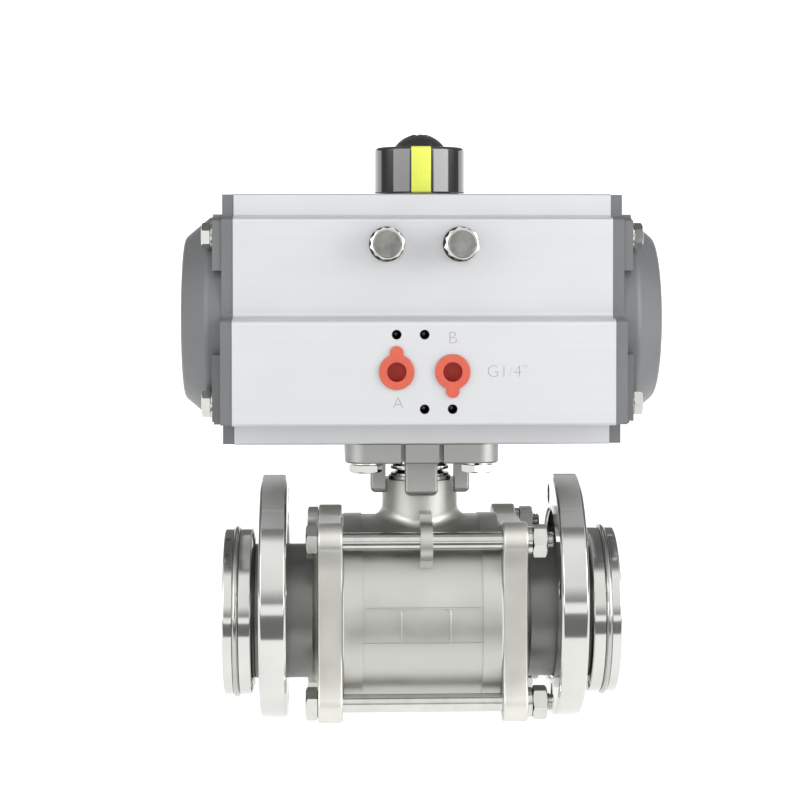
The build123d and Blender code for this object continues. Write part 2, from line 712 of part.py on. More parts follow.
def make_pinion():
    pinion = Pos(0, 0, GEAR_Z[0]) * extrude(gear_outline(), GEAR_Z[1] - GEAR_Z[0])
    pinion += rod_z(LOWER_COLLAR_R, ACT_LOW + CLEAR_GAP, LOWER_COLLAR_TOP)
    pinion += rod_z(LOWER_JOURNAL_R, LOWER_COLLAR_TOP - 1, GEAR_Z[0] - 6)
    pinion += rod_z(HUB_SHAFT_R, GEAR_Z[0] - 7, CAM_Z[0] - STATIC_GAP)
    pinion += flatted(CAM_SHAFT_R, CAM_FLATS, CAM_Z[0] - 1, CAM_Z[1] + 0.5)
    pinion += rod_z(UPPER_JOURNAL_R, CAM_Z[1], ACT_TOP)
    pinion += rod_z(UPPER_JOURNAL_R - 0.4, ACT_TOP - 1, CIRCLIP_Z[1] + 0.2)
    pinion += flatted(SHAFT_TOP_R, SHAFT_FLATS / 2, CIRCLIP_Z[1], SHAFT_TOP)
    pinion -= tube_z(LOWER_COLLAR_R + 1, LOWER_COLLAR_R - 1.85, 79.3, 81.3)
    pinion -= tube_z(UPPER_JOURNAL_R + 1, UPPER_JOURNAL_R - 1.75, 184.9, 186.9)
    pinion -= tube_z(UPPER_JOURNAL_R + 1, UPPER_JOURNAL_R - 1.2, CIRCLIP_Z[0] - STATIC_GAP,
                     CIRCLIP_Z[1] + STATIC_GAP)
    half = SOCKET / 2
    pinion -= block(-half, half, -half, half, ACT_LOW, SOCKET_TOP)
    pinion -= rod_z(M6_R + STATIC_GAP, SHAFT_TOP - 11, SHAFT_TOP + 1)
    return pinion


def flatted(radius, half_flats, z0, z1):
    """Round shaft with two flats facing the pipe's ends."""
    return rod_z(radius, z0, z1) & block(-half_flats, half_flats, -radius, radius, z0, z1)


def make_stop_cam():
    """Disc with two square faces that meet one stop bolt closed and the other open."""
    plate = rod_z(CAM_R, *CAM_Z)
    plate &= block(-CAM_FACE, CAM_R, -CAM_FACE, CAM_R, *CAM_Z)
    corner = Rot(0, 0, 45) * block(-40, -CAM_FACE * 0.8, -40, 40, CAM_Z[0] - 1, CAM_Z[1] + 1)
    plate -= corner
    plate += rod_z(CAM_HUB_R, *CAM_Z)
    return plate - flatted(CAM_SHAFT_R + 0.05, CAM_FLATS + 0.05, CAM_Z[0] - 1, CAM_Z[1] + 1)


def make_lower_bearing():
    return tube_z(LOWER_BORE_R - STATIC_GAP, LOWER_JOURNAL_R + RUNNING_GAP, 82.6, 90.6)


def make_upper_bearing():
    return tube_z(UPPER_BORE_R - STATIC_GAP, UPPER_JOURNAL_R + RUNNING_GAP, 175.0, 187.8)


def make_lower_seal():
    return ring_z(LOWER_COLLAR_R - 0.95, 0.86, 80.3)


def make_upper_seal():
    return ring_z(UPPER_JOURNAL_R - 0.9, 0.8, 185.9)


def make_thrust_washer():
    return tube_z(UPPER_BORE_R + 1.5, UPPER_JOURNAL_R, *THRUST_Z)


def make_circlip():
    clip = tube_z(UPPER_JOURNAL_R + 2.2, UPPER_JOURNAL_R - 1.15, *CIRCLIP_Z)
    return clip - block(-2.5, 2.5, 4, 16, CIRCLIP_Z[0] - 1, CIRCLIP_Z[1] + 1)


def rack_teeth():
    """Straight-sided teeth on the +Y side of the pinion, with a gap on the stem's axis."""
    pitch = pi * MODULE
    tip_y = PITCH_R - MODULE
    root_y = PITCH_R + 1.25 * MODULE
    at_pitch = pitch / 4 - FLANK_THIN
    at_tip = at_pitch - MODULE * tan(PRESSURE)
    at_root = at_pitch + 1.25 * MODULE * tan(PRESSURE)
    teeth = Part()
    for index in range(RACK_FIRST, RACK_LAST + 1):
        x = (index + 0.5) * pitch
        profile = [(x - at_root, root_y + 0.5), (x - at_root, root_y), (x - at_tip, tip_y),
                   (x + at_tip, tip_y), (x + at_root, root_y), (x + at_root, root_y + 0.5)]
        tooth = extrude(make_face(Polyline(*profile, close=True)), 2 * RACK_HALF_Z)
        teeth += Pos(0, 0, BORE_Z - RACK_HALF_Z) * tooth
    return teeth


def make_left_piston():
    """Round head on the left, with a rack arm that runs past the pinion on the +Y side."""
    outer_x = -HEAD_IN_X - HEAD_THICK
    head = rod_x(HEAD_R, outer_x, -HEAD_IN_X, 0, BORE_Z)
    head = chamfer(head.edges().filter_by(GeomType.CIRCLE), 0.8)
    head -= rod_x(30, outer_x - 1, outer_x + 5, 0, BORE_Z)
    head -= tube_x(HEAD_R + 1, 38.8, outer_x + 2.4, outer_x + 5.2, 0, BORE_Z)
    head -= tube_x(HEAD_R + 1, 39.4, outer_x + 7.4, outer_x + 12.4, 0, BORE_Z)
    root_y = PITCH_R + 1.25 * MODULE
    arm = block(-HEAD_IN_X - 1, RACK_END_X, root_y, BORE_R, BORE_Z - RACK_HALF_Z,
                BORE_Z + RACK_HALF_Z)
    arm &= rod_x(ARM_BACK_R, -HEAD_IN_X - 1, RACK_END_X, 0, BORE_Z)
    return head + arm + rack_teeth()


def make_left_piston_seal():
    return ring_x(40.1, 1.26, -HEAD_IN_X - HEAD_THICK + 3.8, BORE_Z)


def make_left_guide_ring():
    x = -HEAD_IN_X - HEAD_THICK + 7.45
    return tube_x(RACK_PAD_R, 39.42, x, x + 4.9, 0, BORE_Z)


def make_left_rack_pad():
    """Curved wear pad between the back of the rack arm and the bore."""
    ring = tube_x(RACK_PAD_R, ARM_BACK_R + STATIC_GAP, -20, 30, 0, BORE_Z)
    return ring & block(-30, 40, 20, 50, BORE_Z - 9, BORE_Z + 9)


def other_piston(shape):
    """The right-hand piston's piece is the left-hand one turned half a turn about the pinion."""
    return Rot(0, 0, 180) * shape


def make_stop_bolts():
    bolts = Part()
    for side in (-1, 1):
        x = side * STOP_X
        bolt = rod(M8_R, (x, STOP_TIP_Y, STOP_Z), STOP_TIP_Y - STOP_HEAD_Y + 1, OUTWARD)
        bolts += bolt + hexagon(M8_FLATS, (x, STOP_HEAD_Y, STOP_Z), M8_HEAD, OUTWARD, 20 * side)
    return bolts


def make_stop_bolt_nuts():
    nuts = Part()
    for side in (-1, 1):
        start = (side * STOP_X, -SIDE_Y - STOP_SEAL_THICK, STOP_Z)
        nut = hexagon(M8_FLATS, start, M8_NUT, OUTWARD, 12)
        nuts += nut - rod(M8_R + STATIC_GAP, (start[0], -SIDE_Y, STOP_Z), 12, OUTWARD)
    return nuts


def make_stop_bolt_seals():
    seals = Part()
    for side in (-1, 1):
        start = (side * STOP_X, -SIDE_Y, STOP_Z)
        ring = rod(7.6, start, STOP_SEAL_THICK, OUTWARD)
        seals += ring - rod(M8_R + STATIC_GAP, start, STOP_SEAL_THICK, OUTWARD)
    return seals


# ---- position indicator ----
def indicator_outside():
    shell = rod_z(IND_R, IND_LOW - SKIRT, IND_TOP)
    shell = fillet(shell.edges().filter_by(GeomType.CIRCLE).sort_by(Axis.Z)[-1], 1.8)
    return shell - rod_z(IND_R - SKIRT_WALL, IND_LOW - SKIRT - 1, IND_LOW)


def stripe_zone(half_width, core_r, core_top):
    """Skin of the indicator over its front, top and back, inside the given width."""
    low = IND_LOW - SKIRT
    skin = indicator_outside() - rod_z(core_r, low - 1, core_top)
    return skin & block(-half_width, half_width, -30, 30, low, IND_TOP + 1)


def make_indicator_body():
    half = STRIPE_WIDTH / 2 + 0.05
    body = indicator_outside() - stripe_zone(half, IND_R - IND_SKIN - 0.05, IND_TOP - IND_SKIN - 0.05)
    body -= flatted(SHAFT_TOP_R + 0.1, SHAFT_FLATS / 2 + 0.1, IND_LOW - 1, SHAFT_TOP + 0.3)
    body -= rod_z(M6_R + 0.2, SHAFT_TOP, IND_TOP + 1)
    return body


def make_indicator_stripe():
    stripe = stripe_zone(STRIPE_WIDTH / 2, IND_R - IND_SKIN, IND_TOP - IND_SKIN)
    return stripe - rod_z(M6_R + 0.2, SHAFT_TOP, IND_TOP + 1)


def make_indicator_screw():
    """Domed plastic-headed screw with a cross slot."""
    low = IND_TOP + 0.05
    rise = DOME_SCREW_TOP - low
    sphere_r = (DOME_SCREW_R ** 2 + rise ** 2) / (2 * rise)
    head = Pos(0, 0, DOME_SCREW_TOP - sphere_r) * Sphere(sphere_r)
    head &= rod_z(DOME_SCREW_R, low, DOME_SCREW_TOP + 1)
    for length, width in ((11, 1.8), (1.8, 11)):
        head -= block(-length / 2, length / 2, -width / 2, width / 2, DOME_SCREW_TOP - 2.6,
                      DOME_SCREW_TOP + 1)
    return head + rod_z(M6_R, SHAFT_TOP - 9, low + 1)


# ---- port plugs ----
def make_port_plug(side):
    """Hollow push-in plug with a pull tab, up on the left one and down on the right one."""
    x = side * PORT_X
    face = (x, -PAD_Y, PORT_Z)
    plug = rod(PLUG_FLANGE_R, face, PLUG_FLANGE, OUTWARD)
    z0, z1 = sorted((PORT_Z, PORT_Z - side * TAB_REACH))
    tab = block(x - TAB_WIDTH / 2, x + TAB_WIDTH / 2, -PAD_Y - PLUG_FLANGE, -PAD_Y, z0, z1)
    tip = tab.edges().filter_by(Axis.Y).sort_by_distance((x, -PAD_Y, PORT_Z))[-2:]
    plug += fillet(tip, TAB_WIDTH / 2 - 0.05)
    plug += rod(PLUG_SHANK_R, face, PLUG_DEPTH, (0, 1, 0))
    plug -= rod(PLUG_HOLE_R, (x, -PAD_Y - PLUG_FLANGE - 1, PORT_Z), 9.0, (0, 1, 0))
    return plug


def write_parts():
    end_cap = make_end_cap()
    gasket = make_body_gasket()
    seat = make_seat()
    hub = make_hub()
    wire = make_retaining_wire()
    flange = make_loose_flange()
    cover = make_end_cover()
    cover_seal = make_cover_seal()
    piston = make_left_piston()
    piston_seal = make_left_piston_seal()
    guide_ring = make_left_guide_ring()
    rack_pad = make_left_rack_pad()
    pieces = {
        "valve_body": make_valve_body(),
        "left_end_cap": to_left(end_cap),
        "right_end_cap": end_cap,
        "left_body_gasket": to_left(gasket),
        "right_body_gasket": gasket,
        "left_seat": to_left(seat),
        "right_seat": seat,
        "left_hub": to_left(hub),
        "right_hub": hub,
        "left_retaining_wire": to_left(wire),
        "right_retaining_wire": wire,
        "left_loose_flange": to_left(flange),
        "right_loose_flange": flange,
        "tie_bolts": make_tie_bolts(),
        "tie_bolt_washers": make_tie_bolt_washers(),
        "tie_bolt_nuts": make_tie_bolt_nuts(),
        "ball": make_ball(),
        "stem": make_stem(),
        "stem_thrust_washer": make_stem_thrust_washer(),
        "stem_packing": make_stem_packing(),
        "gland_bush": make_gland_bush(),
        "disc_springs": make_disc_springs(),
        "nut_lock_tab": make_nut_lock_tab(),
        "stem_nut": make_stem_nut(),
        "drive_adapter": make_drive_adapter(),
        "mounting_bolts": make_mounting_bolts(),
        "mounting_bolt_washers": make_mounting_bolt_washers(),
        "actuator_body": make_actuator_body(),
        "left_end_cover": to_left(cover),
        "right_end_cover": cover,
        "left_cover_seal": to_left(cover_seal),
        "right_cover_seal": cover_seal,
        "cover_bolts": make_cover_bolts(),
        "cover_bolt_washers": make_cover_bolt_washers(),
        "pinion": make_pinion(),
        "stop_cam": make_stop_cam(),
        "pinion_lower_bearing": make_lower_bearing(),
        "pinion_upper_bearing": make_upper_bearing(),
        "pinion_lower_seal": make_lower_seal(),
        "pinion_upper_seal": make_upper_seal(),
        "pinion_thrust_washer": make_thrust_washer(),
        "pinion_circlip": make_circlip(),
        "left_piston": piston,
        "right_piston": other_piston(piston),
        "left_piston_seal": piston_seal,
        "right_piston_seal": other_piston(piston_seal),
        "left_piston_guide_ring": guide_ring,
        "right_piston_guide_ring": other_piston(guide_ring),
        "left_piston_rack_pad": rack_pad,
        "right_piston_rack_pad": other_piston(rack_pad),
        "stop_bolts": make_stop_bolts(),
        "stop_bolt_nuts": make_stop_bolt_nuts(),
        "stop_bolt_seals": make_stop_bolt_seals(),
        "indicator_body": make_indicator_body(),
        "indicator_stripe": make_indicator_stripe(),
        "indicator_screw": make_indicator_screw(),
        "port_plug_a": make_port_plug(-1),
        "port_plug_b": make_port_plug(1),
    }
    os.makedirs("parts", exist_ok=True)
    for name, shape in pieces.items():
        export_step(shape, f"parts/{name}.step")


write_parts()
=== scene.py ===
import json
import math
import random

import bmesh
import bpy
from mathutils import Matrix, Vector


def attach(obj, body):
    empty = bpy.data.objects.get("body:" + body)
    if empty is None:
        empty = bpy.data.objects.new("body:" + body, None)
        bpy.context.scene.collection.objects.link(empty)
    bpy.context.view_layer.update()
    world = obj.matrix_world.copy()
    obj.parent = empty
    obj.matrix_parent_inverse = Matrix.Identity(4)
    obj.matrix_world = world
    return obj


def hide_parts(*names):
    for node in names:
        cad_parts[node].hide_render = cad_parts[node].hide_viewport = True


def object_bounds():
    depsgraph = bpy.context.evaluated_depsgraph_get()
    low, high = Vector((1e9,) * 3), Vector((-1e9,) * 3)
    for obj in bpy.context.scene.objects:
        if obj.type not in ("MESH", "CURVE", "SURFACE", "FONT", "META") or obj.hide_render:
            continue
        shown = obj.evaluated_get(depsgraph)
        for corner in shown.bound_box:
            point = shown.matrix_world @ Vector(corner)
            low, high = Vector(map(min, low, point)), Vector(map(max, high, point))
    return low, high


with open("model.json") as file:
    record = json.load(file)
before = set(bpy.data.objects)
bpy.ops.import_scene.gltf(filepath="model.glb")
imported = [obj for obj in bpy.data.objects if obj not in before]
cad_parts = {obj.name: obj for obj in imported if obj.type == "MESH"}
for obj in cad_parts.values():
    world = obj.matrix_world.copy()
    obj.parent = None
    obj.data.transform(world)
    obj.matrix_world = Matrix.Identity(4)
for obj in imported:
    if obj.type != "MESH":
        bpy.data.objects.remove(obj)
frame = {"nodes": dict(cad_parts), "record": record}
NODES = frame["nodes"]
CAD_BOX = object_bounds()
MM = 0.001

# Places and sizes of the fasteners, in millimetres, in the frame of the CAD model.
M8_FLATS = 13.0
M8_HEAD = 5.3
M8_ROD_R = 3.98
M8_PITCH = 1.25
M8_NUT = 6.5
M8_NUT_BORE = 3.9
M8_WASHER = (6.5, 4.15)
M6_FLATS = 10.0
M6_HEAD = 4.0
M6_WASHER = (5.8, 3.05, 1.0)
TIE_POS = 35.6
TIE_HEAD_X = -46.0
TIE_NUT_X = 48.1
TIE_END_X = 57.6
TIE_THREAD_START = 84.0
TIE_WASHER_X = 46.0
TIE_WASHER_THICK = 2.1
BORE_Z = 133.0
COVER_BOLT_POS = 36.6
COVER_PAD_X = 91.4
MOUNT_POS = 24.75
MOUNT_FACE_Z = 69.5
MOUNT_WASHER_THICK = 0.8
MOUNT_HEAD = 3.7
STOP_X = 16.0
STOP_Z = 166.0
STOP_BODY_Y = -46.0
STOP_HEAD_Y = -58.0
STOP_FLATS = 13.2
STOP_SEAL = 1.5
STOP_START = 30.0
STOP_LENGTH = 42.0
PORT_FACE_Y = -57.7
M5_PITCH = 0.8
M5_THREAD_LENGTH = 9.5
M5_HOLES = ((-12.0, 127.2), (0.0, 127.2), (0.0, 95.2), (12.0, 95.2))
PORT_MARKS = (("port_letter_a", "A", -11.4, 97.7), ("port_letter_b", "B", 12.0, 125.6),
              ("port_thread_size", "G1/4\"", 35.5, 111.2))
MARK_SIZE = 7.6
MARK_THIN = -0.22
MARK_RAISE = 0.02
IND_R = 20.4
IND_LOW = 189.05
IND_INSIDE_Z = 190.45
IND_TOP = 209.7
IND_RIM = 1.7
IND_WALL = 2.4
IND_HUB_R = 8.2
IND_HOLE_R = 3.4
IND_SINK = 0.03
IND_SIDES = 144
STRIPE_HALF = 4.35
STRIPE_END_R = 9.0
SCREW_TOP = 216.0
SCREW_R = 11.6
CROSS_TURN = 38
CROSS_REACH = 5.4
CROSS_HALF = 0.9
CROSS_DEPTH = 2.3
RING_CENTRE = (0.0, 7.3)
BODY_R = 43.15
LABEL_Z = (-8.5, 7.1)
LABEL_HALF = 25
LABEL_STEP = 5
BRACKETS = ((-9.5, 1.6), (12.0, -1.6))
BRACKET_LOW = -7.0
BRACKET_STEP = 1.2
BRACKET_COUNT = 12
BEAD_R = 0.46
BRACKET_BEAD_R = 0.42
BEAD_SIDES = 8
BEAD_SINK = 0.02


# Where colour changes along the object, in metres, from and to: lighter flanges, and painted shade on
# the pipes, neck and plug bore.
FLANGE_START_M = (0.0352, 0.0356)
PIPE_SHADE_START_M = (0.0465, 0.0480)
NECK_SHADE_START_M = (0.046, 0.060)
PLUG_BORE_SHADE_M = (-0.0580, -0.0545)


# ---- camera, floor and light ----
def place_camera():
    """A long lens at the height of the actuator, almost square to the air-port face."""
    data = bpy.data.cameras.new("camera")
    data.sensor_width = 36.0
    data.lens = 100.13
    data.shift_x = -0.0343
    data.shift_y = -0.12
    camera = bpy.data.objects.new("camera", data)
    camera.location = (-0.0392, -1.0090, 0.1621)
    look_down = math.radians(1.31)
    turn_right = math.radians(-2.43)
    camera.rotation_euler = (math.pi / 2 - look_down, 0, turn_right)
    data.clip_start = 0.05
    data.clip_end = 50
    bpy.context.scene.collection.objects.link(camera)
    bpy.context.scene.camera = camera


def stage_sheet(name, profile, half_width, colour, glow=0.0):
    """A sheet swept along X from a line of (y, z) points: the floor sweep or a card."""
    verts = [(x, y, z) for y, z in profile for x in (-half_width, half_width)]
    faces = [(2 * i, 2 * i + 1, 2 * i + 3, 2 * i + 2) for i in range(len(profile) - 1)]
    mesh = bpy.data.meshes.new(name)
    mesh.from_pydata(verts, [], faces)
    material = bpy.data.materials.new(name + "_paint")
    material.use_nodes = True
    shader = material.node_tree.nodes["Principled BSDF"]
    shader.inputs["Base Color"].default_value = (*colour, 1)
    shader.inputs["Roughness"].default_value = 0.9
    shader.inputs["Specular IOR Level"].default_value = 0.1
    shader.inputs["Emission Color"].default_value = (1, 1, 1, 1)
    shader.inputs["Emission Strength"].default_value = glow
    mesh.materials.append(material)
    for polygon in mesh.polygons:
        polygon.use_smooth = True
    sheet = bpy.data.objects.new(name, mesh)
    bpy.context.scene.collection.objects.link(sheet)
    return sheet


def place_stage():
    """White sweep under and behind, and a dark card on the floor that only reflections show."""
    low = CAD_BOX[0].z
    turn = [(2.1 + 0.4 * math.sin(a), low + 0.4 - 0.4 * math.cos(a))
            for a in [math.radians(9 * i) for i in range(11)]]
    stage_sheet("floor", [(-4.0, low)] + turn + [(2.5, 0.85)], 5.0, (0.40, 0.40, 0.40), 0.90)
    card_line = [(-0.33, low + 0.002), (-0.115, low + 0.002)]
    card = stage_sheet("floor_card", card_line, 0.45, (0.20, 0.20, 0.20))
    card.visible_camera = False
    card.visible_diffuse = False
    card.visible_shadow = False


def place_surround():
    """Far white wall all round, seen by the camera only, so that every side view is on white."""
    low = CAD_BOX[0].z
    count = 48
    circle = [(4.6 * math.cos(2 * math.pi * i / count), 4.6 * math.sin(2 * math.pi * i / count))
              for i in range(count)]
    verts = [(x, y, z) for z in (low - 0.1, low + 3.0) for x, y in circle]
    faces = [(i, (i + 1) % count, count + (i + 1) % count, count + i) for i in range(count)]
    mesh = bpy.data.meshes.new("surround")
    mesh.from_pydata(verts, [], faces)
    mesh.materials.append(bpy.data.materials["floor_paint"])
    wall = bpy.data.objects.new("surround", mesh)
    bpy.context.scene.collection.objects.link(wall)
    wall.visible_glossy = False
    wall.visible_diffuse = False
    wall.visible_shadow = False
    wall.visible_transmission = False


def area_light(name, place, target, size, power):
    """Rectangular soft light aimed at a point."""
    data = bpy.data.lights.new(name, "AREA")
    data.shape = "RECTANGLE"
    data.size = size[0]
    data.size_y = size[1]
    data.energy = power
    light = bpy.data.objects.new(name, data)
    light.location = place
    aim = Vector(target) - Vector(place)
    light.rotation_euler = aim.to_track_quat("-Z", "Y").to_euler()
    bpy.context.scene.collection.objects.link(light)
    return light


def place_lights():
    """Two tall soft boxes in front at the sides, and a wide one overhead for the floor."""
    middle = (0, 0, 0.09)
    area_light("left_soft_box", (-0.95, -0.81, 0.30), middle, (1.04, 1.0), 7.0)
    area_light("right_soft_box", (1.02, -0.72, 0.30), middle, (0.96, 1.0), 12.5)
    top = area_light("overhead_soft_box", (0, 0.2, 2.4), (0, 0.2, 0), (3.0, 3.0), 10)
    top.visible_glossy = False


def place_world():
    """A room that is bright to the front up to head height, and dim overhead and behind."""
    world = bpy.data.worlds.new("studio")
    world.use_nodes = True
    tree = world.node_tree
    background = tree.nodes["Background"]
    coordinates = tree.nodes.new("ShaderNodeTexCoord")
    split = tree.nodes.new("ShaderNodeSeparateXYZ")
    ramp = tree.nodes.new("ShaderNodeValToRGB")
    stops = ((0.0, 0.30), (0.06, 0.45), (0.24, 1.10), (0.84, 1.20), (0.91, 0.30), (1.0, 0.22))
    elements = ramp.color_ramp.elements
    while len(elements) < len(stops):
        elements.new(0.5)
    for element, (height, level) in zip(elements, stops):
        element.position = height
        element.color = (level, level, level, 1)
    behind = tree.nodes.new("ShaderNodeMapRange")
    behind.inputs["From Min"].default_value = -0.10
    behind.inputs["From Max"].default_value = 0.20
    mix = tree.nodes.new("ShaderNodeMix")
    mix.data_type = "RGBA"
    mix.inputs["B"].default_value = (0.20, 0.20, 0.20, 1)
    tree.links.new(coordinates.outputs["Generated"], split.inputs[0])
    tree.links.new(split.outputs["Z"], ramp.inputs["Fac"])
    tree.links.new(split.outputs["Y"], behind.inputs["Value"])
    tree.links.new(behind.outputs["Result"], mix.inputs["Factor"])
    tree.links.new(ramp.outputs["Color"], mix.inputs["A"])
    tree.links.new(mix.outputs["Result"], background.inputs["Color"])
    background.inputs["Strength"].default_value = 1.0
    bpy.context.scene.world = world


# ---- materials ----
def srgb(red, green, blue):
    """Screen colour from 0 to 255 as the linear values a shader takes."""
    def linear(value):
        value /= 255
        return value / 12.92 if value <= 0.04045 else ((value + 0.055) / 1.055) ** 2.4
    return tuple(linear(v) for v in (red, green, blue))


class Finish:
    """One procedural material, built up from small steps."""

    def __init__(self, name, colour, metallic, roughness):
        self.material = bpy.data.materials.new(name)
        self.material.use_nodes = True
        self.tree = self.material.node_tree
        self.shader = self.tree.nodes["Principled BSDF"]
        self.colour = colour
        self.set("Base Color", (*colour, 1))
        self.set("Metallic", metallic)
        self.set("Roughness", roughness)
        self.place = self.add("ShaderNodeTexCoord").outputs["Object"]
        self.normal = None

    def set(self, socket, value):
        self.shader.inputs[socket].default_value = value

    def add(self, kind, **settings):
        node = self.tree.nodes.new(kind)
        for key, value in settings.items():
            setattr(node, key, value)
        return node

    def link(self, output, socket):
        self.tree.links.new(output, socket)

    def stretched(self, stretch):
        """Object coordinates, scaled by a different amount along each axis."""
        scale = self.add("ShaderNodeVectorMath", operation="MULTIPLY")
        self.link(self.place, scale.inputs[0])
        scale.inputs[1].default_value = stretch
        return scale.outputs["Vector"]

    def noise(self, scale, detail=3.0, source=None):
        texture = self.add("ShaderNodeTexNoise")
        texture.inputs["Scale"].default_value = scale
        texture.inputs["Detail"].default_value = detail
        self.link(source or self.place, texture.inputs["Vector"])
        return texture.outputs["Fac"]

    def lathe_lines(self, scale, centre=(0.0, 0.0), axis="X"):
        """Fine rings around an axis: they follow the length and, on end faces, the radius."""
        split = self.add("ShaderNodeSeparateXYZ")
        self.link(self.place, split.inputs[0])
        others = [a for a in "XYZ" if a != axis]
        squares = []
        for letter, middle in zip(others, centre):
            offset = self.math("SUBTRACT", split.outputs[letter], middle * MM)
            squares.append(self.math("MULTIPLY", offset, offset))
        radius = self.math("SQRT", self.math("ADD", squares[0], squares[1]), 0.0)
        run = self.math("ADD", radius, split.outputs[axis])
        texture = self.add("ShaderNodeTexNoise", noise_dimensions="1D")
        texture.inputs["Scale"].default_value = scale
        texture.inputs["Detail"].default_value = 4.0
        self.link(run, texture.inputs["W"])
        return texture.outputs["Fac"]

    def math(self, operation, first, second):
        node = self.add("ShaderNodeMath", operation=operation)
        for socket, value in zip(node.inputs, (first, second)):
            if isinstance(value, float):
                socket.default_value = value
            else:
                self.link(value, socket)
        return node.outputs[0]

    def spread(self, source, low, high, low_in=0.3, high_in=0.7):
        node = self.add("ShaderNodeMapRange")
        self.link(source, node.inputs["Value"])
        node.inputs["From Min"].default_value = low_in
        node.inputs["From Max"].default_value = high_in
        node.inputs["To Min"].default_value = low
        node.inputs["To Max"].default_value = high
        return node.outputs["Result"]

    def tint(self, source, dark, light):
        """Base colour runs from dark to light times the plain colour, as source rises."""
        mix = self.add("ShaderNodeMix", data_type="RGBA")
        mix.inputs["A"].default_value = (*[c * dark for c in self.colour], 1)
        mix.inputs["B"].default_value = (*[min(c * light, 1) for c in self.colour], 1)
        self.link(self.spread(source, 0.0, 1.0), mix.inputs["Factor"])
        self.link(mix.outputs["Result"], self.shader.inputs["Base Color"])
        return mix.outputs["Result"]

    def flange_tint_and_painted_shade(self, plain):
        """Lightens the square flanges; painted shade darkens the short pipes outside them, and a little
        the neck under the actuator.
        """
        split = self.add("ShaderNodeSeparateXYZ")
        self.link(self.place, split.inputs[0])
        out = self.math("ABSOLUTE", split.outputs["X"], 0.0)
        mix = self.add("ShaderNodeMix", data_type="RGBA")
        self.link(self.spread(out, 0.0, 1.0, *PIPE_SHADE_START_M), mix.inputs["Factor"])
        flange = self.add("ShaderNodeMix", data_type="RGBA", blend_type="MULTIPLY")
        self.link(self.spread(out, 0.0, 1.0, *FLANGE_START_M), flange.inputs["Factor"])
        self.link(plain, flange.inputs["A"])
        flange.inputs["B"].default_value = (1.28, 1.27, 1.25, 1)
        self.link(flange.outputs["Result"], mix.inputs["A"])
        # Painted shade: the short pipes between flange and loose ring go down to 0.42 of the colour.
        mix.inputs["B"].default_value = (*[c * 0.42 for c in self.colour], 1)
        # Painted shade: the neck under the actuator is darkened to 0.72.
        neck = self.add("ShaderNodeMix", data_type="RGBA", blend_type="MULTIPLY")
        self.link(self.spread(split.outputs["Z"], 0.0, 1.0, *NECK_SHADE_START_M), neck.inputs["Factor"])
        self.link(mix.outputs["Result"], neck.inputs["A"])
        neck.inputs["B"].default_value = (0.72, 0.72, 0.73, 1)
        self.link(neck.outputs["Result"], self.shader.inputs["Base Color"])

    def rough(self, source, low, high):
        self.link(self.spread(source, low, high), self.shader.inputs["Roughness"])

    def bump(self, source, height_mm, strength=1.0):
        node = self.add("ShaderNodeBump")
        node.inputs["Strength"].default_value = strength
        node.inputs["Distance"].default_value = height_mm * MM
        self.link(source, node.inputs["Height"])
        if self.normal:
            self.link(self.normal, node.inputs["Normal"])
        self.normal = node.outputs["Normal"]
        self.link(self.normal, self.shader.inputs["Normal"])


def cast_steel(name):
    """Bead-blasted casting: fine pitted grain over slow, soft unevenness."""
    finish = Finish(name, srgb(190, 190, 185), 1.0, 0.36)
    broad = finish.noise(70, 4)
    grain = finish.noise(2200, 4)
    plain = finish.tint(broad, 0.96, 1.02)
    # Lighter flanges, and painted shade on the short pipes and on the neck.
    finish.flange_tint_and_painted_shade(plain)
    finish.rough(broad, 0.38, 0.48)
    finish.bump(broad, 0.08)
    finish.bump(grain, 0.05, 0.35)
    return finish.material


def turned_steel(name, centre=(0.0, 0.0), axis="X"):
    """Lathe-turned stainless: tool rings, and a few soft smears left by handling."""
    finish = Finish(name, srgb(208, 208, 204), 1.0, 0.16)
    rings = finish.lathe_lines(2600, centre, axis)
    smears = finish.noise(45, 3)
    finish.tint(smears, 0.93, 1.02)
    finish.rough(rings, 0.08, 0.15)
    finish.bump(rings, 0.010, 0.35)
    return finish.material


def bright_steel(name, colour=(206, 206, 201), low=0.09, high=0.2):
    """Bright stainless fastener: drawn bar with slight smears and fine scratches."""
    finish = Finish(name, srgb(*colour), 1.0, 0.14)
    smears = finish.noise(140, 4)
    scratches = finish.noise(1, 3, finish.stretched((300, 2600, 2600)))
    finish.tint(smears, 0.90, 1.02)
    finish.rough(smears, low, high)
    finish.bump(scratches, 0.006, 0.4)
    return finish.material


def anodised(name):
    """Clear-anodised extrusion: fine matt grain with faint draw lines along the profile."""
    finish = Finish(name, srgb(199, 200, 202), 0.6, 0.42)
    draw_lines = finish.noise(1, 3, finish.stretched((6, 1400, 1400)))
    grain = finish.noise(5200, 2)
    finish.tint(draw_lines, 0.985, 1.01)
    finish.rough(finish.noise(55, 3), 0.44, 0.52)
    finish.bump(draw_lines, 0.004, 0.35)
    finish.bump(grain, 0.010, 0.3)
    return finish.material


def powder_coat(name):
    """Grey powder coat with orange peel."""
    finish = Finish(name, srgb(99, 101, 103), 0.0, 0.42)
    peel = finish.noise(650, 2)
    finish.tint(finish.noise(38, 4), 0.93, 1.05)
    finish.rough(peel, 0.36, 0.46)
    finish.bump(peel, 0.07, 0.4)
    return finish.material


def gloss_black(name):
    """Polished black plastic with barely visible moulding waves."""
    finish = Finish(name, (0.010, 0.010, 0.010), 0.0, 0.10)
    finish.set("Specular IOR Level", 1.0)
    finish.set("Coat Weight", 0.8)
    finish.set("Coat Roughness", 0.05)
    waves = finish.noise(60, 3)
    finish.tint(waves, 0.8, 1.25)
    finish.rough(waves, 0.06, 0.13)
    finish.bump(waves, 0.05, 0.25)
    return finish.material


